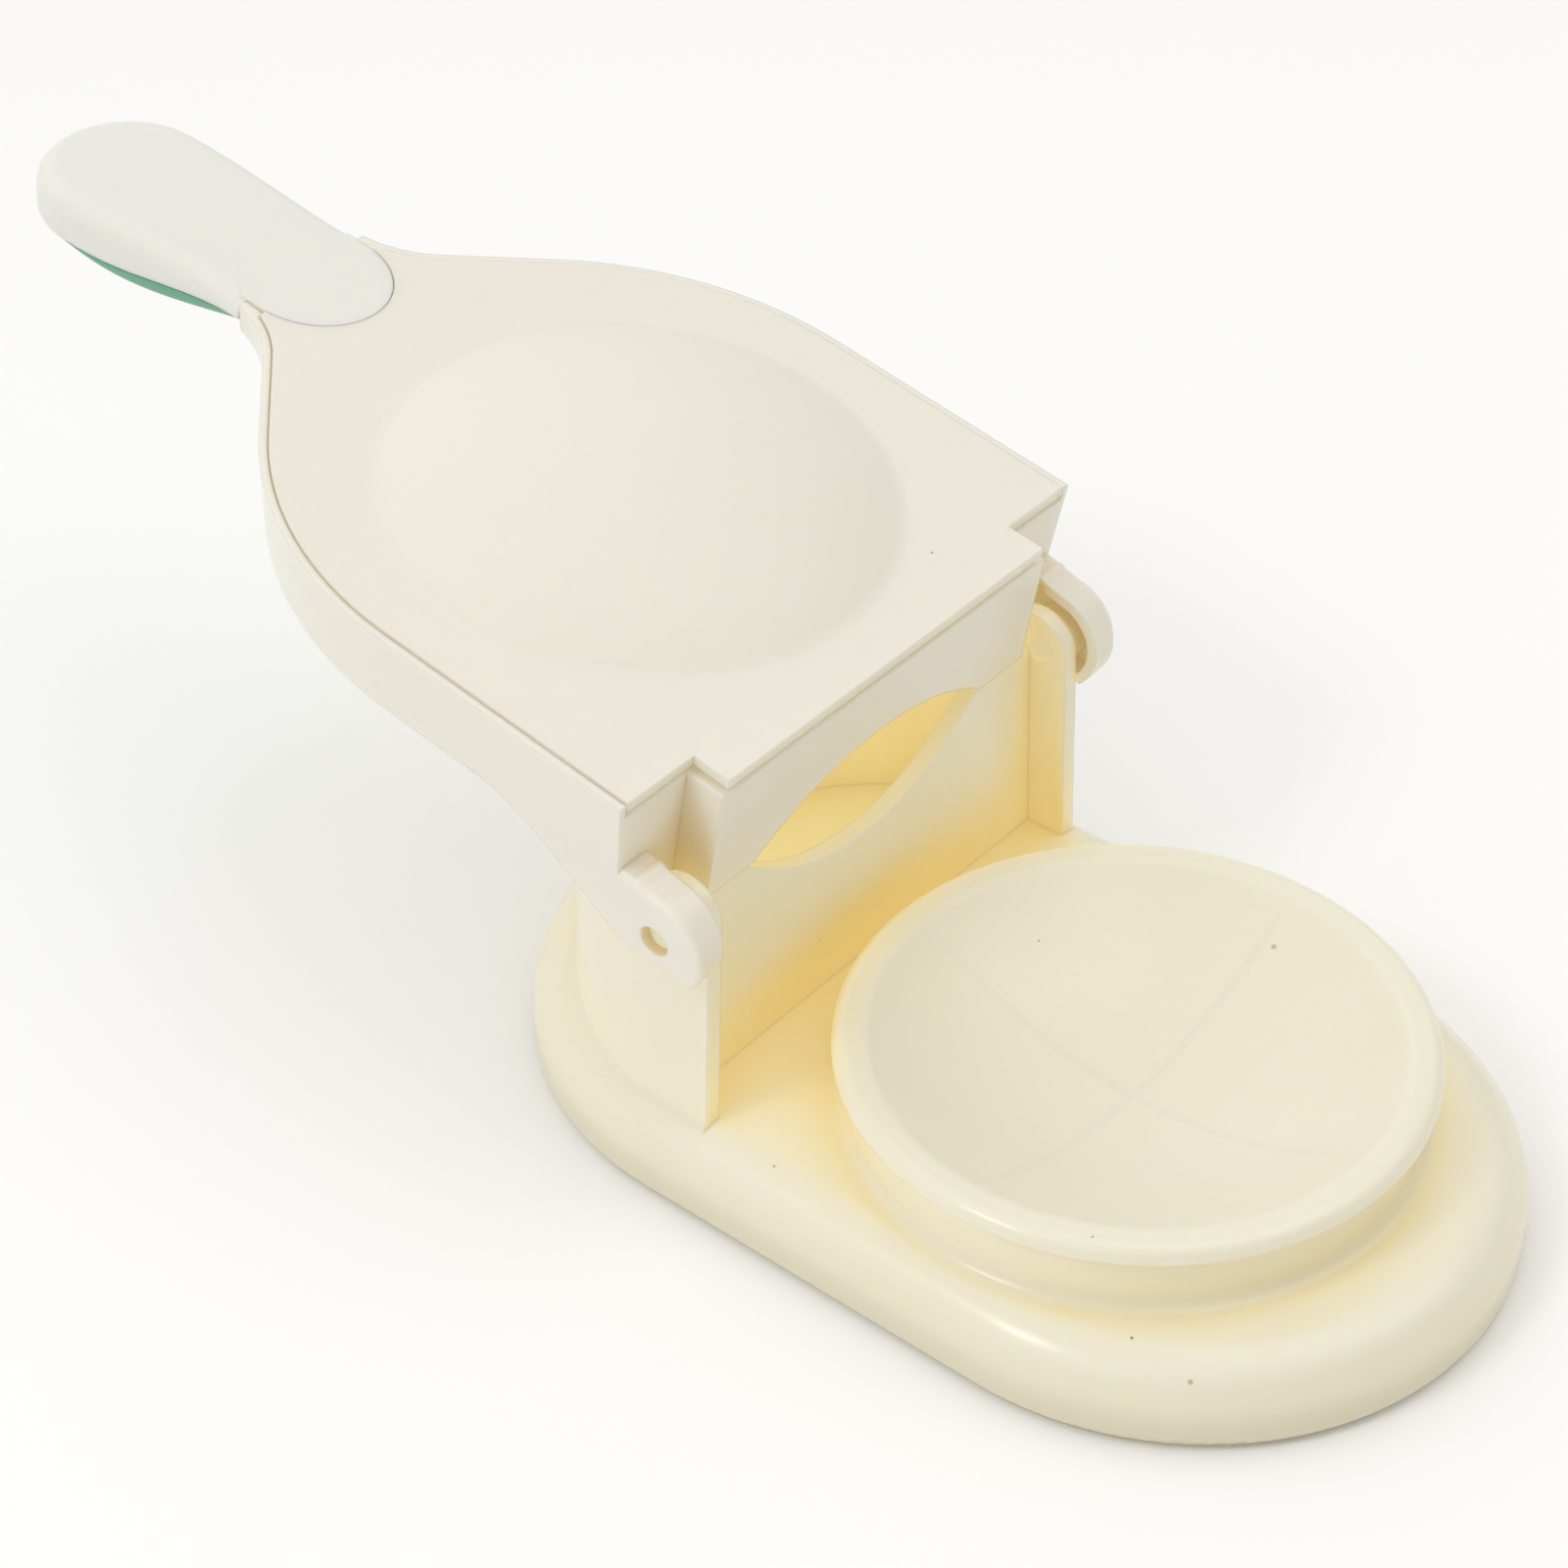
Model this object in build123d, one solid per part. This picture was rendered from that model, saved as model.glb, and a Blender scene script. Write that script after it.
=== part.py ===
from build123d import *
from math import cos, radians, sin, tan
import os

# Hinged dough press: a stadium base with a round dish and a hollow hinge tower, and an arm that
# carries a flat plate with a dome. Millimetres, +Z up, +X from the tower towards the dish.
# The base is drawn about the dish axis, and the arm about its hinge with the handle towards +X
# and its face up. At the end all of it moves to the middle of its own footprint.

# base plate
base_half_width = 58.8
base_front_reach = 69.8
base_rear_reach = 119.8
base_height = 15.8
base_edge_round = 9.0
base_low_round = 2.0
base_wall = 2.8
rib_thickness = 2.0
rib_setback = 1.5
rib_pitch = 52.0

# foot pads
foot_radius = 6.0
foot_thickness = 2.4
foot_proud = 0.8
foot_chamfer = 0.5
foot_inset = 14.5
foot_angle = 35.0
foot_clearance = 0.15
foot_boss_wall = 2.0

# dish drum
dish_radius = 46.4
dish_depth = 14.6
lip_radius = 52.0
lip_round = 2.6
lip_height = 5.4
drum_height = 14.8
drum_inset = 2.6
drum_foot_round = 2.6

# hinge tower
tower_inset = 6.2
tower_wall = 3.4
tower_front = 51.6
tower_draft = 2.6
tower_recess = 8.0
tower_rear_depth = 48.4
tower_foot_round = 2.5
ear_radius = 7.2
hinge_to_dish = 57.8
closed_gap = 0.4
stop_gap = 0.3
lens_radius = 46.0
lens_rise = 13.6

# hinge pins and the lugs that turn on them
pin_radius = 2.9
pin_ear_clearance = 0.02
pin_lug_clearance = 0.06
pin_recess = 1.4
pin_chamfer = 0.5
pin_setback = 0.4
lug_radius = 10.0
lug_thickness = 5.4
lug_gap = 0.5
lug_edge_round = 1.0
lug_bottom = 6.2
lug_boss_radius = 5.2
hump_radius = 2.8
hump_reach = 5.2
hump_height = 8.2

# arm shell
open_tilt = 9.8
face_height = 26.6
arm_overhang = 3.0
shoulder_radius = 70.0
shoulder_turn = 46.0
neck_radius = 23.8
neck_turn = 9.1
neck_reach = 141.0
arm_draft = 5.5
arm_wall = 2.4
arm_rim = 1.5
arm_floor = 2.2
arm_floor_height = 6.6
arm_edge_round = 5.0
belly_end = 98.0
neck_floor_height = 16.8
neck_floor_slope = 0.12
tab_half_width = 43.4
tab_front = 0.6
notch_front = 8.3
skirt_drop = 0.3
skirt_wall = 1.9
skirt_end = 46.0
skirt_top = 11.2
skirt_knee = (18.0, 1.2)
skirt_end_height = 11.0
ear_clearance = 0.6
arch_rise = 10.2
arch_half_width = 31.2
arm_rib_thickness = 1.8
arm_rib_offset = 28.0
arm_rib_end = 112.0

# press plate
plate_thickness = 2.0
plate_proud = 0.5
plate_gap = 0.25
plate_reach = 136.0
notch_gap = 1.1
tab_gap = 1.2
dome_gap = 3.0
dome_blend = 5.0
post_radius = 1.9
post_fit = 0.03
post_drop = 11.0
sleeve_wall = 1.6
sleeve_drop = 4.0
front_post = (112.0, 17.0)
rear_post = (17.0, 49.0)

# handle
arm_reach = 204.0
neck_half_width = 15.8
waist_half_width = 15.4
waist_reach = 151.0
handle_half_width = 16.8
handle_wall = 2.0
handle_edge_round = 4.0
handle_tip_top = 22.8
handle_tip_low = 15.0
handle_neck_low = 20.6
handle_middle_low = 12.0
handle_middle_reach = 178.0
seam_neck = 23.0
seam_middle = 15.6
seam_tip = 17.2
seam_gap = 0.2
cover_tongue_reach = 122.8
cover_tongue_length = 15.2
cover_tongue_half_width = 13.8
strap_half_width = 9.0
strap_thickness = 2.4
strap_reach = 192.0
strap_gap = 0.4
handle_post_radius = 2.4
handle_post_depth = 2.0
handle_posts = (161.0, 184.0)

tower_half_width = base_half_width - tower_inset
floor_top = foot_proud + base_height
rim_top = floor_top + drum_height
hinge_height = rim_top + closed_gap + face_height
dome_height = dish_depth - dome_gap
front_centre = base_front_reach - base_half_width
rear_centre = base_half_width - base_rear_reach
drum_radius = lip_radius - drum_inset
front_wall = tower_front + tower_recess
ear_lean = (hinge_height - floor_top) * tan(radians(tower_draft))
ear_half_width = tower_half_width - ear_lean
ear_inner = ear_half_width - tower_wall
ear_centre = -tower_front - ear_radius
lug_inner = ear_half_width + lug_bottom * tan(radians(tower_draft)) + lug_gap
lug_outer = lug_inner + lug_thickness
arm_half_width = lug_outer + arm_overhang
stop_reach = front_wall - hinge_to_dish
tower_top = hinge_height - skirt_drop + stop_reach * tan(radians(open_tilt)) - stop_gap
rim_height = face_height - plate_proud
plate_low = face_height - plate_thickness
strap_low = plate_low - strap_gap - strap_thickness
far = 2 * arm_reach


def span_box(x_low, x_high, y_low, y_high, z_low, z_high):
    size = (x_high - x_low, y_high - y_low, z_high - z_low)
    return Pos(x_low, y_low, z_low) * Box(*size, align=(Align.MIN, Align.MIN, Align.MIN))


def between_x(low, high):
    return span_box(low, high, -far, far, -far, far)


def between_y(low, high):
    return span_box(-far, far, low, high, -far, far)


def between_z(low, high):
    return span_box(-far, far, -far, far, low, high)


def upright(x, y, low, high, radius):
    return Pos(x, y, low) * Cylinder(radius, high - low, align=(Align.CENTER, Align.CENTER, Align.MIN))


def crosswise(x, z, radius, half_length):
    return Pos(x, 0, z) * Rot(90, 0, 0) * Cylinder(radius, 2 * half_length)


def lengthwise(z, radius, half_length):
    return Pos(0, 0, z) * Rot(0, 90, 0) * Cylinder(radius, 2 * half_length)


def side_prism(face, half_width):
    return extrude(Plane.XZ * face, half_width, both=True)


def cap_radius(radius, height):
    return (radius ** 2 + height ** 2) / (2 * height)


# ---------------------------------------------------------------- base

def stadium_block(half_width, low, high, top_round):
    length = front_centre - rear_centre
    middle = (front_centre + rear_centre) / 2
    outline = Pos(middle, 0, low) * SlotCenterToCenter(length, 2 * half_width)
    block = extrude(outline, high - low)
    return fillet(block.edges().group_by(Axis.Z)[-1], top_round)


def dish_ball(extra):
    radius = cap_radius(dish_radius, dish_depth)
    return Pos(0, 0, rim_top - dish_depth + radius) * Sphere(radius + extra)


def drum():
    low = floor_top - base_wall
    profile = Polyline(
        (0, low),
        (drum_radius, low),
        (drum_radius, rim_top - lip_height),
        (lip_radius, rim_top - lip_height + drum_inset),
        (lip_radius, rim_top),
        (0, rim_top),
        close=True,
    )
    solid = revolve(Plane.XZ * make_face(profile), Axis.Z)
    outer_edge = solid.edges().filter_by(GeomType.CIRCLE).sort_by(Axis.Z)[-1]
    solid = fillet(outer_edge, lip_round) - dish_ball(0)
    rings = solid.edges().filter_by(GeomType.CIRCLE)
    inner_edge = rings.sort_by(lambda ring: abs(ring.radius - dish_radius))[0]
    return fillet(inner_edge, lip_round)


def tower_section(inset, front):
    half = tower_half_width - inset
    depth = tower_rear_depth - inset
    back = EllipticalCenterArc((rear_centre, 0), depth, half, start_angle=90, arc_size=180)
    sides = Polyline(back @ 1, (-front, -half), (-front, half), back @ 0)
    return make_face([back, sides])


def tower_block(inset, front):
    # leans inwards from the deck up, on its sides and round the back
    low = -base_wall
    high = hinge_height + far / 4 - floor_top
    bottom = tower_section(inset + low * tan(radians(tower_draft)), front)
    top = tower_section(inset + high * tan(radians(tower_draft)), front)
    return loft([Pos(0, 0, floor_top + low) * bottom, Pos(0, 0, floor_top + high) * top], ruled=True)


def tower():
    body = between_z(0, tower_top)
    ears = between_x(ear_centre - ear_radius, -tower_front) & between_z(0, hinge_height)
    round_tops = crosswise(ear_centre, hinge_height, ear_radius, far)
    return tower_block(0, tower_front) & (body + ears + round_tops)


def tower_room():
    inside = tower_block(tower_wall, 0) & between_z(floor_top, far)
    behind = between_x(-far, -front_wall - tower_wall)
    recess = between_x(-front_wall, 0)
    above = between_x(ear_centre - ear_radius, 0) & between_z(tower_top, far)
    lens = lengthwise(tower_top - lens_rise + lens_radius, lens_radius, far)
    lens = lens & between_x(-front_wall - 2 * tower_wall, 0)
    return inside & (behind + recess + above + lens)


def on_tower_wall(spot):
    lean = (spot.Z - floor_top) * tan(radians(tower_draft))
    back = max(0.0, rear_centre - spot.X)
    level = (back / (tower_rear_depth - lean)) ** 2 + (spot.Y / (tower_half_width - lean)) ** 2
    return spot.X < foot_clearance - tower_front and abs(level - 1.0) < 0.004


def foot_edges(solid):
    # the corners where the drum and the tower rise from the deck
    drum_foot = []
    tower_foot = []
    for edge in solid.edges():
        spot = edge @ 0.5
        near_deck = floor_top - tower_foot_round < spot.Z < floor_top + foot_clearance
        reach = (spot.X ** 2 + spot.Y ** 2) ** 0.5
        if near_deck and abs(reach - drum_radius) < 0.01:
            drum_foot.append(edge)
        elif near_deck and on_tower_wall(spot) and on_tower_wall(edge @ 0.9):
            tower_foot.append(edge)
    return drum_foot, tower_foot


def foot_places():
    reach = base_half_width - foot_inset
    along = reach * cos(radians(foot_angle))
    aside = reach * sin(radians(foot_angle))
    front = front_centre + along
    rear = rear_centre - along
    return [(front, aside), (front, -aside), (rear, aside), (rear, -aside)]


def underside_room():
    room = stadium_block(
        base_half_width - base_wall, 0, floor_top - base_wall, base_edge_round - base_wall
    )
    under_dish = upright(0, 0, 0, rim_top - base_wall, drum_radius - base_wall)
    room = room + (under_dish - dish_ball(base_wall))
    low = foot_proud + rib_setback
    half = rib_thickness / 2
    room = room - (between_y(-half, half) & between_z(low, rim_top))
    for x in (-rib_pitch, 0):
        room = room - (between_x(x - half, x + half) & between_z(low, rim_top))
    for x, y in foot_places():
        room = room - upright(x, y, foot_proud, floor_top, foot_radius + foot_clearance + foot_boss_wall)
    return room


def base_body():
    solid = stadium_block(base_half_width, foot_proud, floor_top, base_edge_round)
    solid = fillet(solid.edges().group_by(Axis.Z)[0], base_low_round)
    solid = solid + (tower() - tower_room()) + drum()
    solid = fillet(foot_edges(solid)[0], drum_foot_round)
    solid = fillet(foot_edges(solid)[1], tower_foot_round)
    solid = solid - underside_room()
    for x, y in foot_places():
        solid = solid - upright(x, y, 0, foot_thickness, foot_radius + foot_clearance)
    bore = crosswise(-hinge_to_dish, hinge_height, pin_radius + pin_ear_clearance, far)
    return solid - (bore - between_y(-ear_inner + foot_clearance, ear_inner - foot_clearance))


def foot_pad(x, y):
    pad = upright(0, 0, 0, foot_thickness, foot_radius)
    return Pos(x, y, 0) * chamfer(pad.edges().group_by(Axis.Z)[0], foot_chamfer)


def hinge_pin(side):
    pin = upright(0, 0, ear_inner + pin_setback, lug_outer - pin_recess, pin_radius)
    pin = chamfer(pin.edges().filter_by(GeomType.CIRCLE), pin_chamfer)
    return Pos(-hinge_to_dish, 0, hinge_height) * Rot(-90 * side, 0, 0) * pin


# ---------------------------------------------------------------- arm, about the hinge

def arm_side(inset):
    # a shoulder arc, a straight run and a neck arc that ends at the handle
    turn = radians(shoulder_turn)
    leave_turn = radians(neck_turn)
    second_x = neck_reach + neck_radius * sin(leave_turn)
    second_y = neck_half_width + neck_radius * cos(leave_turn)
    first_y = arm_half_width - shoulder_radius
    reach = shoulder_radius + neck_radius
    run_length = (first_y + reach * cos(turn) - second_y) / sin(turn)
    first = (second_x - reach * sin(turn) - run_length * cos(turn), first_y)
    second = (second_x, second_y)
    shoulder = CenterArc(first, shoulder_radius - inset, 90, -shoulder_turn)
    neck = CenterArc(second, neck_radius + inset, 270 - shoulder_turn, shoulder_turn - neck_turn)
    back = Line((-2 * lug_radius, arm_half_width - inset), shoulder @ 0)
    run = Line(shoulder @ 1, neck @ 0)
    leave = Line(neck @ 1, neck @ 1 + (neck % 1) * lug_radius)
    return [back, shoulder, run, neck, leave]


def arm_outline(inset):
    side = arm_side(inset)
    other = [mirror(curve, Plane.XZ) for curve in side]
    back = Line(side[0] @ 0, other[0] @ 0)
    tip = Line(side[-1] @ 1, other[-1] @ 1)
    return make_face([*side, *other, back, tip])


def arm_column(inset, low, high):
    return Pos(0, 0, low) * extrude(arm_outline(inset), high - low)


def drafted(inset, low):
    depth = rim_height - low
    top = Pos(0, 0, rim_height) * arm_outline(inset)
    bottom = Pos(0, 0, low) * arm_outline(inset + depth * tan(radians(arm_draft)))
    return loft([bottom, top], ruled=True)


def belly(lift):
    # everything above the line that the arm's underside follows
    low = arm_floor_height + lift
    neck = neck_floor_height + lift
    rise = Spline((belly_end, low), (neck_reach, neck), tangents=[(1, 0), (1, neck_floor_slope)])
    away = rise @ 1 + (rise % 1) * arm_half_width
    around = Polyline(
        away,
        (away.X, face_height),
        (-arm_half_width, face_height),
        (-arm_half_width, low),
        rise @ 0,
    )
    return side_prism(make_face([rise, Line(rise @ 1, away), around]), arm_half_width)


def trough(inset, lift, edge_round):
    solid = drafted(inset, -skirt_drop) & belly(lift)
    highest = neck_floor_height + lift + arm_wall
    corners = []
    for edge in solid.edges():
        box = edge.bounding_box()
        runs_along = box.size.X > 1.0 and abs(edge.center().Y) > 1.0
        if runs_along and box.max.Z < highest:
            corners.append(edge)
    return fillet(corners, edge_round)


def hinge_end(inset):
    # the plan of the hinge end: a tab between two notches, open towards the handle
    tab = tab_half_width - inset
    notch = notch_front + inset
    tab_block = span_box(tab_front + inset, far, -tab, tab, -far, far)
    return tab_block + between_x(notch, far)


def cheek_face(inset):
    low = inset - lug_bottom
    lug = Circle(lug_radius - inset) - Pos(0, low - lug_radius) * Rectangle(far, 2 * lug_radius)
    hump = Pos(hump_reach, hump_height) * Circle(hump_radius - inset / 2)
    edge = Spline(
        (0, low),
        (skirt_knee[0], skirt_knee[1] + inset),
        (skirt_end, skirt_end_height + inset),
        tangents=[(1, 0), (1, 0.1)],
    )
    around = Polyline(
        edge @ 1,
        (skirt_end, skirt_top + 2 * inset),
        (notch_front, skirt_top - inset),
        (0, lug_radius - inset),
        edge @ 0,
    )
    return lug + hump + make_face([edge, around])


def cheek():
    slab = extrude(Plane.XZ * cheek_face(0), -far)
    slab = slab & drafted(0, -2 * lug_bottom) & between_y(lug_inner, far)
    rim = []
    for edge in slab.edges():
        box = edge.bounding_box()
        if box.min.Y > lug_outer - lug_edge_round and box.max.X < notch_front + lug_edge_round:
            rim.append(edge)
    slab = fillet(rim, lug_edge_round)
    hollow = extrude(Plane.XZ * cheek_face(rib_thickness), -(lug_outer - skirt_wall))
    behind = between_x(notch_front - lug_edge_round, far) & between_z(arm_floor_height, far)
    return slab - (hollow - behind - crosswise(0, 0, lug_boss_radius, far))


def post_places():
    front_x, front_y = front_post
    rear_x, rear_y = rear_post
    return [(front_x, front_y), (front_x, -front_y), (rear_x, rear_y), (rear_x, -rear_y)]


def tongue_face(extra):
    centre = cover_tongue_reach + cover_tongue_length
    end = Pos(centre, 0) * Ellipse(cover_tongue_length + extra, cover_tongue_half_width + extra)
    length = neck_reach + handle_wall - centre
    return end + Pos(centre + length / 2, 0) * Rectangle(length, 2 * (cover_tongue_half_width + extra))


def strap():
    start = neck_reach - arm_wall / 2
    tip = seam_middle + strap_gap
    profile = Polyline(
        (start, strap_low),
        (waist_reach, strap_low),
        (strap_reach, tip),
        (strap_reach, tip + strap_thickness),
        (waist_reach, strap_low + strap_thickness),
        (start, strap_low + strap_thickness),
        close=True,
    )
    solid = side_prism(make_face(profile), strap_half_width)
    for x in handle_posts:
        solid = solid - upright(x, 0, 0, far, handle_post_radius + strap_gap)
    return solid


def arm_tray():
    # the drafted tray with its hinge end, still without the lugs
    outer = trough(0, 0, arm_edge_round) & hinge_end(0) & between_x(0, neck_reach)
    room = trough(arm_wall, arm_floor, arm_edge_round - arm_floor) & hinge_end(arm_wall)
    skirt = (drafted(0, -skirt_drop) & hinge_end(0)) - hinge_end(arm_wall)
    skirt = skirt & between_x(0, notch_front + arm_wall)
    tab_room = between_x(tab_front + arm_wall, notch_front + arm_wall)
    tab_room = tab_room & between_y(arm_wall - tab_half_width, tab_half_width - arm_wall)
    return outer - (room & between_x(0, neck_reach - arm_wall)) + skirt - tab_room


def tray_fittings():
    # two long ribs that carry the plate, and the sleeves that hold its posts
    low = arm_floor_height + arm_floor / 2
    fittings = []
    for y in (arm_rib_offset, -arm_rib_offset):
        half = arm_rib_thickness / 2
        start = tab_front + arm_wall / 2
        fittings.append(span_box(start, arm_rib_end, y - half, y + half, low, plate_low))
    for x, y in post_places():
        fittings.append(upright(x, y, low, plate_low - sleeve_drop, post_radius + post_fit + sleeve_wall))
    return fittings


def plate_seat():
    # the room that the plate takes: inside the rim, and over the wall tops at the hinge end
    inside = arm_column(arm_rim, plate_low, far) & between_x(-far, plate_reach + plate_gap)
    ends = arm_column(arm_rim, plate_low - notch_gap, far) & between_x(-far, notch_front + arm_wall)
    tongue = Pos(0, 0, plate_low) * extrude(tongue_face(plate_gap), far)
    return inside + ends + tongue


def arm_shell():
    left = cheek()
    solid = arm_tray() + left + mirror(left, Plane.XZ)
    ear_reach = ear_radius + abs(ear_centre + hinge_to_dish) + ear_clearance
    ear_room = crosswise(0, 0, ear_reach, lug_inner)
    inner = ear_inner - ear_clearance - ear_reach * tan(radians(tower_draft))
    solid = solid - (ear_room - between_y(-inner, inner))
    arch_radius = cap_radius(arch_half_width, arch_rise)
    arch = lengthwise(arch_rise - skirt_drop - arch_radius, arch_radius, far)
    solid = solid - (arch & between_x(0, tab_front + arm_wall))
    outside = drafted(0, -skirt_drop)
    for fitting in tray_fittings():
        solid = solid + (fitting & outside)
    solid = solid - plate_seat()
    for x, y in post_places():
        solid = solid - upright(x, y, plate_low - post_drop - post_radius, far, post_radius + post_fit)
    bore = crosswise(0, 0, pin_radius + pin_lug_clearance, far) - between_y(-ear_inner, ear_inner)
    return solid - bore + strap()


def press_plate():
    solid = arm_column(arm_rim + plate_gap, plate_low, face_height) & between_x(tab_front, plate_reach)
    tab = tab_half_width - tab_gap
    notches = between_x(0, notch_front) - between_y(-tab, tab)
    radius = cap_radius(dish_radius, dome_height)
    ball = Pos(hinge_to_dish, 0, face_height + dome_height - radius)
    solid = solid - notches + (ball * Sphere(radius) & between_z(face_height - plate_proud, far))
    rings = solid.edges().filter_by(GeomType.CIRCLE)
    foot = [ring for ring in rings if abs(ring.radius - dish_radius) < plate_proud]
    solid = fillet(foot, dome_blend)
    solid = solid - (ball * Sphere(radius - plate_thickness) & between_z(0, far))
    solid = solid - extrude(tongue_face(seam_gap), far)
    for x, y in post_places():
        solid = solid + upright(x, y, plate_low - post_drop, face_height - plate_proud, post_radius)
    return solid


def handle_plan(inset, start):
    tip_centre = arm_reach - handle_half_width
    flank = Spline(
        (start, neck_half_width - inset),
        (waist_reach, waist_half_width - inset),
        (tip_centre, handle_half_width - inset),
        tangents=[(1, -0.12), (1, 0)],
    )
    tip = CenterArc((tip_centre, 0), handle_half_width - inset, 90, -180)
    other = mirror(flank, Plane.XZ)
    return make_face([flank, tip, other, Line(flank @ 0, other @ 0)])


def handle_side(inset, start):
    high = face_height - inset
    top = Spline(
        (start, high),
        (waist_reach, high),
        (arm_reach, handle_tip_top - inset),
        tangents=[(1, 0), (1, -0.1)],
    )
    low = Spline(
        (start, handle_neck_low + inset),
        (handle_middle_reach, handle_middle_low + inset),
        (arm_reach, handle_tip_low + inset),
        tangents=[(1, -0.35), (1, 0.15)],
    )
    face = make_face([top, low, Line(top @ 1, low @ 1), Line(low @ 0, top @ 0)])
    return side_prism(face, arm_half_width)


def handle_block(inset, round_top):
    start = neck_reach + seam_gap if inset == 0 else neck_reach - handle_wall
    solid = extrude(handle_plan(inset, start), far) & handle_side(inset, start)
    chosen = []
    for edge in solid.edges():
        spot = edge @ 0.5
        is_upright = edge.bounding_box().size.X < 1.0
        in_middle = abs(spot.Y) < 1.0 and abs((edge @ 0.3).Y) < 1.0
        is_top = spot.Z > (handle_tip_top + handle_tip_low) / 2
        if is_top == round_top and not is_upright and not in_middle:
            chosen.append(edge)
    return fillet(chosen, handle_edge_round - inset)


def above_seam(shift):
    line = Spline(
        (neck_reach - handle_wall, seam_neck + shift),
        (handle_middle_reach, seam_middle + shift),
        (arm_reach + handle_wall, seam_tip + shift),
        tangents=[(1, -0.1), (1, 0.25)],
    )
    start = line @ 0
    around = Polyline(line @ 1, (far, seam_tip), (far, far), (start.X, far), start)
    return side_prism(make_face([line, around]), arm_half_width)


def grip_floor(x):
    block = handle_block(0, False)
    thin = strap_gap / 2
    slice_box = (block & between_x(x - thin, x + thin) & between_y(-thin, thin)).bounding_box()
    return slice_box.min.Z + handle_wall


def handle_cover():
    block = handle_block(0, True)
    solid = (block - handle_block(handle_wall, True)) & above_seam(0)
    tongue = Pos(0, 0, plate_low) * extrude(tongue_face(0), plate_thickness)
    solid = solid + tongue
    for x in handle_posts:
        solid = solid + (upright(x, 0, grip_floor(x) + seam_gap, far, handle_post_radius) & block)
    return solid


def handle_grip():
    solid = handle_block(0, False) - handle_block(handle_wall, False) - above_seam(-seam_gap)
    half = strap_half_width + strap_gap
    slot = between_x(0, waist_reach) & between_y(-half, half) & between_z(strap_low - seam_gap, far)
    solid = solid - slot
    for x in handle_posts:
        low = grip_floor(x)
        bore = handle_post_radius + post_fit
        solid = solid + upright(x, 0, low - handle_wall / 2, low + handle_post_depth, bore + sleeve_wall)
        solid = solid - upright(x, 0, low, far, bore)
    return solid


def place_arm(piece):
    return Pos(-hinge_to_dish, 0, hinge_height) * Rot(0, open_tilt, 0) * Rot(0, 0, 180) * piece


def main():
    pieces = {
        "base_body": base_body(),
        "hinge_pin_left": hinge_pin(1),
        "hinge_pin_right": hinge_pin(-1),
        "arm_shell": place_arm(arm_shell()),
        "press_plate": place_arm(press_plate()),
        "handle_cover": place_arm(handle_cover()),
        "handle_grip": place_arm(handle_grip()),
    }
    names = ["front_left", "front_right", "rear_left", "rear_right"]
    for name, (x, y) in zip(names, foot_places()):
        pieces["foot_pad_" + name] = foot_pad(x, y)
    boxes = [piece.bounding_box() for piece in pieces.values()]
    middle = (min(box.min.X for box in boxes) + max(box.max.X for box in boxes)) / 2
    print("the dish axis lies at x =", round(-middle, 4))
    os.makedirs("parts", exist_ok=True)
    for name, piece in pieces.items():
        export_step(Pos(-middle, 0, 0) * piece, "parts/" + name + ".step")


main()
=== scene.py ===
import math

import bpy
from mathutils import Matrix, Vector


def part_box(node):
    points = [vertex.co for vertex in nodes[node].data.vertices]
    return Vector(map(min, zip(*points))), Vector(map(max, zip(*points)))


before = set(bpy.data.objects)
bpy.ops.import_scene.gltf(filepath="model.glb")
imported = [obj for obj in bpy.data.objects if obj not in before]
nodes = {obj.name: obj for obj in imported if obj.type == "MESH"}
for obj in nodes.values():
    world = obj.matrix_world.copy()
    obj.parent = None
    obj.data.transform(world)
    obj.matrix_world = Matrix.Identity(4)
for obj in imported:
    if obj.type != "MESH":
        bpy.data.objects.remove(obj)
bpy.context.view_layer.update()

mm = 0.001
black = "#000000"
print("press loaded")


def hexLinear(code):
    # sRGB hex to the linear values Blender works in
    parts = [int(code[i:i + 2], 16) / 255 for i in (1, 3, 5)]
    return [p / 12.92 if p <= 0.04045 else ((p + 0.055) / 1.055) ** 2.4 for p in parts] + [1.0]


def addNode(tree, kind, settings=None, links=None):
    # one node with its settings, and its inputs fed from other nodes' outputs
    node = tree.nodes.new(kind)
    for key, value in (settings or {}).items():
        if isinstance(key, int) or key in node.inputs:
            node.inputs[key].default_value = value
        else:
            setattr(node, key, value)
    for key, source in (links or {}).items():
        tree.links.new(source, node.inputs[key])
    return node


def newMaterial(name):
    material = bpy.data.materials.new(name)
    material.use_nodes = True
    material.node_tree.nodes.clear()
    return material, material.node_tree


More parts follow.
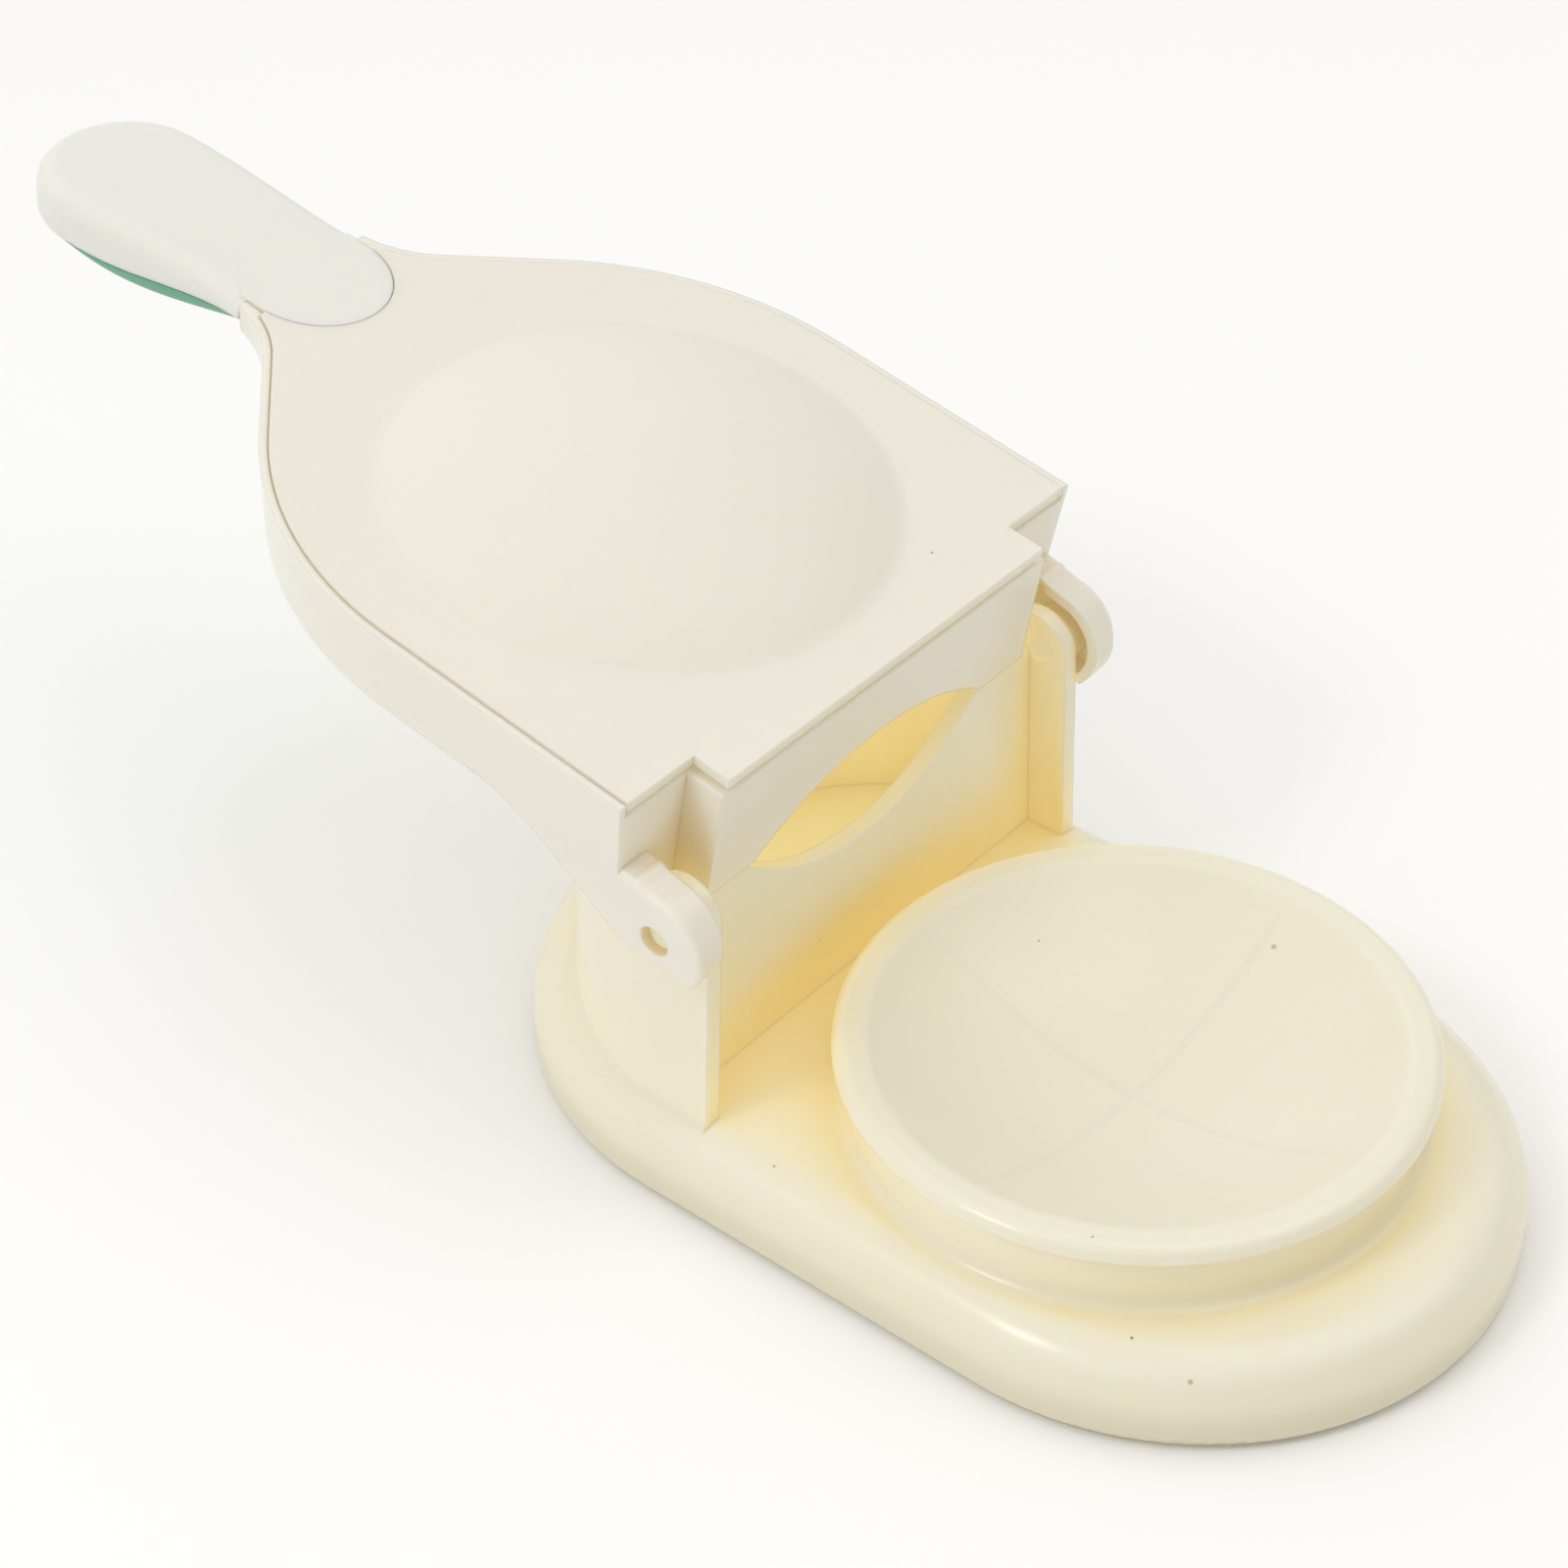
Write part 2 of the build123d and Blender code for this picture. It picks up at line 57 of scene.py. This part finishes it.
def mouldedPlastic(name, look, marks=None):
    material, tree = newMaterial(name)
    place = addNode(tree, "ShaderNodeTexCoord").outputs["Object"]

    # cloudy tone of a thick wall, with no edge to it
    cloud = addNode(tree, "ShaderNodeTexNoise", {
        "Scale": 1 / (look["cloud"] * mm), "Detail": 1.0, "Roughness": 0.4,
    }, {"Vector": place})
    colour = addNode(tree, "ShaderNodeMix", {
        "data_type": "RGBA", 6: hexLinear(look["colour"]), 7: hexLinear(look["tone"]),
    }, {0: cloud.outputs["Fac"]}).outputs[2]
    if marks:
        colour = marks(tree, place, colour)

    # painted shade: near the worktop the moulding is painted a little darker, where less light comes back
    # from the worktop
    height = addNode(tree, "ShaderNodeSeparateXYZ", None, {0: place}).outputs[2]
    foot = addNode(tree, "ShaderNodeMapRange", {
        "interpolation_type": "SMOOTHSTEP",
        "From Min": look["footFrom"] * mm, "From Max": look["footTo"] * mm,
        "To Min": look["footShadeAmount"], "To Max": 0.0,
    }, {"Value": height})
    colour = addNode(tree, "ShaderNodeMix", {
        "data_type": "RGBA", 7: hexLinear(look["footShadeColour"]),
    }, {0: foot.outputs[0], 6: colour}).outputs[2]

    # painted shade in creases: light picks up the plastic's own colour between close walls, so a crease is
    # painted yellow, not grey
    crease = addNode(tree, "ShaderNodeAmbientOcclusion", {
        "samples": 8, "only_local": True, "Distance": look["creaseReach"] * mm,
    })
    paintedShadeShare = addNode(tree, "ShaderNodeMapRange", {
        "From Min": look["creaseTight"], "From Max": look["creaseLoose"],
        "To Min": look["creaseShadeAmount"], "To Max": 0.0,
    }, {"Value": crease.outputs["AO"]}).outputs[0]
    withCreaseShade = addNode(tree, "ShaderNodeMix", {
        "data_type": "RGBA", 7: hexLinear(look["creaseShadeColour"]),
    }, {0: paintedShadeShare, 6: colour}).outputs[2]

    # painted glow: inside the hollow mouldings light comes through the walls, and a weak emission stands in
    # for that
    hollow = addNode(tree, "ShaderNodeAmbientOcclusion", {
        "samples": 8, "Distance": look["hollowReach"] * mm,
    })
    ramp = addNode(tree, "ShaderNodeValToRGB", None, {0: hollow.outputs["AO"]})
    stops = ramp.color_ramp.elements
    stops.new(look["valleyAt"])
    shades = (
        (look["deepAt"], look["glowColour"]),
        (look["valleyAt"], look["valleyColour"]),
        (look["openAt"], black),
    )
    for stop, (at, shade) in zip(stops, shades):
        stop.position = at
        stop.color = hexLinear(shade)
    # a worktop lets no light through, so the foot of the base has none of it
    offTable = addNode(tree, "ShaderNodeMapRange", {
        "interpolation_type": "SMOOTHSTEP",
        "From Min": look["glowFrom"] * mm, "From Max": look["footTo"] * mm,
    }, {"Value": height})
    glow = addNode(tree, "ShaderNodeMix", {
        "data_type": "RGBA", 6: hexLinear(black),
    }, {0: offTable.outputs[0], 7: ramp.outputs[0]}).outputs[2]

    # fine tool texture of the mould over the slow waves of a shrunk wall
    grain = addNode(tree, "ShaderNodeTexNoise", {
        "Scale": 1 / (look["grain"] * mm), "Detail": 4.0, "Roughness": 0.6,
    }, {"Vector": place})
    wave = addNode(tree, "ShaderNodeTexNoise", {
        "Scale": 1 / (look["wave"] * mm), "Detail": 1.0, "Roughness": 0.4,
    }, {"Vector": place})
    edge = addNode(tree, "ShaderNodeBevel", {"samples": 6, "Radius": look["edge"] * mm})
    wavy = addNode(tree, "ShaderNodeBump", {
        "Strength": look["waveAmount"], "Distance": look["waveDepth"] * mm,
    }, {"Height": wave.outputs["Fac"], "Normal": edge.outputs["Normal"]})
    normal = addNode(tree, "ShaderNodeBump", {
        "Strength": look["grainAmount"], "Distance": look["grainDepth"] * mm,
    }, {"Height": grain.outputs["Fac"], "Normal": wavy.outputs["Normal"]}).outputs["Normal"]
    # the same waves leave the polish uneven; nearly all of a noise lies between 0.3 and 0.7
    spread = look["roughnessSpread"]
    polish = addNode(tree, "ShaderNodeMapRange", {
        "From Min": 0.3, "From Max": 0.7,
        "To Min": look["roughness"] - spread, "To Max": look["roughness"] + spread,
    }, {"Value": wave.outputs["Fac"]})

    shader = addNode(tree, "ShaderNodeBsdfPrincipled", {
        "IOR": look["ior"], "Metallic": 0.0,
        "Subsurface Weight": look["depthGlow"], "Subsurface Radius": (1.0, 0.9, 0.6),
        "Subsurface Scale": look["glowReach"] * mm, "Emission Strength": look["glow"],
    }, {"Base Color": withCreaseShade, "Roughness": polish.outputs[0], "Normal": normal, "Emission Color": glow})
    addNode(tree, "ShaderNodeOutputMaterial", None, {"Surface": shader.outputs[0]})
    return material


# ABS, injection moulded in a polished tool: a glossy skin over a cream body that lets some light in
# lengths are in millimetres, and the Tight, Loose and At values are shares of open sky
creamAbs = {
    "colour": "#E8E5D4", "tone": "#E5E1CE", "cloud": 60.0,
    # the foot colour and amount are painted shade near the worktop
    "footShadeColour": "#CFC29E", "footShadeAmount": 0.42, "footFrom": 2.0, "footTo": 15.0,
    # the crease colour and amount are painted shade in creases
    "creaseShadeColour": "#D2BC70", "creaseShadeAmount": 0.90, "creaseReach": 24.0,
    "creaseTight": 0.20, "creaseLoose": 0.70,
    # the glow and valley colours and the glow strength are a painted glow
    "glowColour": "#DECD94", "valleyColour": "#BFA148", "glow": 0.36, "glowFrom": 4.0,
    "hollowReach": 70.0, "deepAt": 0.08, "valleyAt": 0.36, "openAt": 0.86,
    "grain": 0.9, "grainAmount": 0.04, "grainDepth": 0.05,   # drawn coarser than real, so that it shows
    "wave": 22.0, "waveAmount": 0.10, "waveDepth": 0.4,
    "roughness": 0.235, "roughnessSpread": 0.02, "ior": 1.54, "edge": 0.8,
    "depthGlow": 0.5, "glowReach": 3.0,
}


# burnt grains under the moulded skin: x, y, z and radius in millimetres, and their colour
specks = {
    "base": [
        (95.5, 38.2, 26.4, 0.70, "#B9B3A2"), (137.1, -45.5, 13.9, 0.60, "#B4AC92"),
        (125.7, -45.8, 16.6, 0.40, "#6E5536"), (33.5, -12.2, 27.3, 0.30, "#8A6A4A"),
        (61.5, 14.8, 24.7, 0.30, "#97886C"), (115.6, -43.8, 31.4, 0.30, "#8C7C60"),
        (56.2, -52.1, 16.3, 0.35, "#A2947A"),
    ],
    "plate": [(26.8, 26.4, 86.9, 0.35, "#7C6E58")],
    "core": 0.4, "amount": 0.85,    # share of the radius that is full strength, and that strength
}


def addSpecks(tree, place, colour, spots):
    for x, y, z, radius, shade in spots:
        middle = (x * mm, y * mm, z * mm)
        away = addNode(tree, "ShaderNodeVectorMath", {"operation": "DISTANCE", 1: middle}, {0: place})
        seen = addNode(tree, "ShaderNodeMapRange", {
            "interpolation_type": "SMOOTHSTEP",
            "From Min": specks["core"] * radius * mm, "From Max": radius * mm,
            "To Min": specks["amount"], "To Max": 0.0,
        }, {"Value": away.outputs["Value"]})
        colour = addNode(tree, "ShaderNodeMix", {
            "data_type": "RGBA", 7: hexLinear(shade),
        }, {0: seen.outputs[0], 6: colour}).outputs[2]
    return colour


def plateMarks(tree, place, colour):
    return addSpecks(tree, place, colour, specks["plate"])


# painted shade of sink marks: a faint grey cross in the dish, where two ribs run below its skin and the
# surface dips a little, in millimetres
sinkMarkShade = {
    "frontReach": 69.8,     # from the dish's axis to the front of the base
    "dishRadius": 46.4,
    "halfWidth": 1.5,
    "fadeFrom": 0.75,       # share of the dish's radius where they begin to fade
    "colour": "#DDD8CC", "amount": 0.35,
}
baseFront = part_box("base_body")[1][0]
dishX = baseFront - sinkMarkShade["frontReach"] * mm


def baseMarks(tree, place, colour):
    axes = addNode(tree, "ShaderNodeSeparateXYZ", None, {0: place})
    fromAxis = addNode(tree, "ShaderNodeMath", {
        "operation": "SUBTRACT", 1: dishX,
    }, {0: axes.outputs[0]}).outputs[0]
    lines = []
    for across in (fromAxis, axes.outputs[1]):
        away = addNode(tree, "ShaderNodeMath", {"operation": "ABSOLUTE"}, {0: across})
        lines.append(addNode(tree, "ShaderNodeMapRange", {
            "interpolation_type": "SMOOTHSTEP",
            "From Min": 0.0, "From Max": sinkMarkShade["halfWidth"] * mm, "To Min": 1.0, "To Max": 0.0,
        }, {"Value": away.outputs[0]}).outputs[0])
    cross = addNode(tree, "ShaderNodeMath", {"operation": "MAXIMUM"}, {0: lines[0], 1: lines[1]}).outputs[0]
    flat = addNode(tree, "ShaderNodeCombineXYZ", None, {0: fromAxis, 1: axes.outputs[1]})
    reach = addNode(tree, "ShaderNodeVectorMath", {"operation": "LENGTH"}, {0: flat.outputs[0]})
    rim = sinkMarkShade["dishRadius"] * mm
    inDish = addNode(tree, "ShaderNodeMapRange", {
        "interpolation_type": "SMOOTHSTEP",
        "From Min": sinkMarkShade["fadeFrom"] * rim, "From Max": rim, "To Min": 1.0, "To Max": 0.0,
    }, {"Value": reach.outputs["Value"]})
    shown = addNode(tree, "ShaderNodeMath", {"operation": "MULTIPLY"}, {0: cross, 1: inDish.outputs[0]})
    faint = addNode(tree, "ShaderNodeMath", {
        "operation": "MULTIPLY", 1: sinkMarkShade["amount"],
    }, {0: shown.outputs[0]})
    # the grey of the cross is painted shade of the dips
    colour = addNode(tree, "ShaderNodeMix", {
        "data_type": "RGBA", 7: hexLinear(sinkMarkShade["colour"]),
    }, {0: faint.outputs[0], 6: colour}).outputs[2]
    return addSpecks(tree, place, colour, specks["base"])


# plate and handle: the same plastic from a finely etched tool, satin, without the wet highlights
plateAbs = dict(creamAbs, colour="#E5E1D6", tone="#E2DED2", roughness=0.46, roughnessSpread=0.03,
                grain=0.7, grainAmount=0.08, creaseShadeAmount=0.2, creaseReach=6.0, glow=0.0, edge=0.5)
# the arm: as glossy as the base, a shade whiter, with a weaker painted glow and a darker painted crease
# shade, as it lets less light through
armAbs = dict(creamAbs, colour="#E6E3D9", tone="#E4E0D4", creaseShadeColour="#BFA568",
              glowColour="#C8B988", valleyColour="#94866A", glow=0.34)
# the handle's cover: satin, the palest of the mouldings
coverAbs = dict(plateAbs, colour="#E3E2DD", tone="#E0DFD8", glow=0.02)
# the grip's own colour, moulded through: opaque, so no light comes back from inside
greenAbs = dict(plateAbs, colour="#63A783", tone="#5E9F7D", creaseShadeColour="#3E7D60", depthGlow=0.05)
# acetal pins: waxy, a little duller than the lugs around them
pinAcetal = dict(creamAbs, glowColour="#C8BC94", valleyColour="#B09C60", roughness=0.38)
# soft thermoplastic rubber, moulded: matt and slightly chalky
padRubber = dict(creamAbs, colour="#D8D5CA", tone="#D0CDC2", creaseShadeColour="#B8B3A0", roughness=0.75,
                 roughnessSpread=0.05, grain=0.5, grainAmount=0.35, depthGlow=0.0, ior=1.5, glow=0.0)

materials = {
    "creamBase": mouldedPlastic("creamAbsGlossBase", creamAbs, baseMarks),
    "creamArm": mouldedPlastic("creamAbsGlossArm", armAbs),
    "plate": mouldedPlastic("creamAbsSatinPlate", plateAbs, plateMarks),
    "cover": mouldedPlastic("paleAbsSatinCover", coverAbs),
    "green": mouldedPlastic("greenAbsSatinGrip", greenAbs),
    "pin": mouldedPlastic("creamAcetalPin", pinAcetal),
    "rubber": mouldedPlastic("paleRubberPad", padRubber),
}
finishes = {
    "base_body": "creamBase", "arm_shell": "creamArm", "press_plate": "plate",
    "handle_cover": "cover", "handle_grip": "green",
    "hinge_pin_left": "pin", "hinge_pin_right": "pin",
    "foot_pad_front_left": "rubber", "foot_pad_front_right": "rubber",
    "foot_pad_rear_left": "rubber", "foot_pad_rear_right": "rubber",
}
for node, finish in finishes.items():
    nodes[node].data.materials.clear()
    nodes[node].data.materials.append(materials[finish])
print("materials done")

# floor, light and camera, in metres, watts and degrees; heights in the sky are shares of its radius
studio = {
    "floorColour": "#F6F6F6", "floorSize": 40.0, "floorRoughness": 0.85, "floorGloss": 0.1,
    "skyTop": "#FFFFFF", "skyLow": "#B8B3A2", "skyFar": "#EEEDEA", "skyPower": 1.0,
    "skyTilt": (-0.50, -0.15, 1.0), "wallTop": 0.7, "farFrom": 0.08, "farTo": 0.13,
    "keyPower": 2.1, "keySize": 0.32, "keyAt": (-0.22, -0.85, 1.00),
    "topPower": 2.4, "topSize": 1.2, "topAt": (0.45, 0.35, 1.25),
    "cameraAt": (0.34822, -0.39590, 0.45822), "azimuth": 40.076, "elevation": 38.553, "roll": -0.396,
    "lens": 85.5, "sensor": 36.0,   # millimetres
}


def areaLight(name, at, size, power, target=(0.0, 0.0, 0.05)):
    data = bpy.data.lights.new(name, "AREA")
    data.shape = "DISK"
    data.size = size
    data.energy = power
    lamp = bpy.data.objects.new(name, data)
    bpy.context.scene.collection.objects.link(lamp)
    lamp.location = at
    lamp.rotation_euler = (Vector(target) - Vector(at)).to_track_quat("-Z", "Y").to_euler()


def makeStudio():
    half = studio["floorSize"] / 2
    mesh = bpy.data.meshes.new("floor")
    corners = [(-half, -half, 0), (half, -half, 0), (half, half, 0), (-half, half, 0)]
    mesh.from_pydata(corners, [], [(0, 1, 2, 3)])
    floor = bpy.data.objects.new("floor", mesh)
    bpy.context.scene.collection.objects.link(floor)
    material, tree = newMaterial("paleFloor")
    shader = addNode(tree, "ShaderNodeBsdfPrincipled", {
        "Base Color": hexLinear(studio["floorColour"]), "Roughness": studio["floorRoughness"],
        "Specular IOR Level": studio["floorGloss"],
    })
    addNode(tree, "ShaderNodeOutputMaterial", None, {"Surface": shader.outputs[0]})
    mesh.materials.append(material)

    # a white ceiling over dimmer walls, so that upright faces are a little darker than level ones
    world = bpy.data.worlds.new("studioSky")
    bpy.context.scene.world = world
    world.use_nodes = True
    tree = world.node_tree
    tree.nodes.clear()
    way = addNode(tree, "ShaderNodeTexCoord").outputs["Generated"]
    lift = addNode(tree, "ShaderNodeVectorMath", {
        "operation": "DOT_PRODUCT", 1: studio["skyTilt"],
    }, {0: way})
    height = addNode(tree, "ShaderNodeMapRange", {
        "From Min": 0.0, "From Max": studio["wallTop"],
    }, {"Value": lift.outputs["Value"]})
    tone = addNode(tree, "ShaderNodeMix", {
        "data_type": "RGBA", 6: hexLinear(studio["skyLow"]), 7: hexLinear(studio["skyTop"]),
    }, {0: height.outputs[0]})
    # far off, where floor and walls meet, it all turns pale
    axes = addNode(tree, "ShaderNodeSeparateXYZ", None, {0: way})
    level = addNode(tree, "ShaderNodeMath", {"operation": "ABSOLUTE"}, {0: axes.outputs[2]})
    band = addNode(tree, "ShaderNodeMapRange", {
        "From Min": studio["farFrom"], "From Max": studio["farTo"], "To Min": 1.0, "To Max": 0.0,
    }, {"Value": level.outputs[0]})
    tone = addNode(tree, "ShaderNodeMix", {
        "data_type": "RGBA", 7: hexLinear(studio["skyFar"]),
    }, {0: band.outputs[0], 6: tone.outputs[2]})
    sky = addNode(tree, "ShaderNodeBackground", {
        "Strength": studio["skyPower"],
    }, {"Color": tone.outputs[2]})
    addNode(tree, "ShaderNodeOutputWorld", None, {"Surface": sky.outputs[0]})

    areaLight("keyLight", studio["keyAt"], studio["keySize"], studio["keyPower"])
    areaLight("topLight", studio["topAt"], studio["topSize"], studio["topPower"])

    data = bpy.data.cameras.new("camera")
    data.sensor_width = studio["sensor"]
    data.lens = studio["lens"]
    data.clip_start = 0.01
    data.clip_end = 50.0
    camera = bpy.data.objects.new("camera", data)
    bpy.context.scene.collection.objects.link(camera)
    turn = Matrix.Rotation(math.radians(studio["azimuth"]), 4, "Z")
    turn = turn @ Matrix.Rotation(math.radians(90 - studio["elevation"]), 4, "X")
    turn = turn @ Matrix.Rotation(math.radians(studio["roll"]), 4, "Z")
    camera.matrix_world = Matrix.Translation(studio["cameraAt"]) @ turn
    bpy.context.scene.camera = camera
    bpy.context.scene.view_settings.view_transform = "Standard"


makeStudio()
print("studio done")
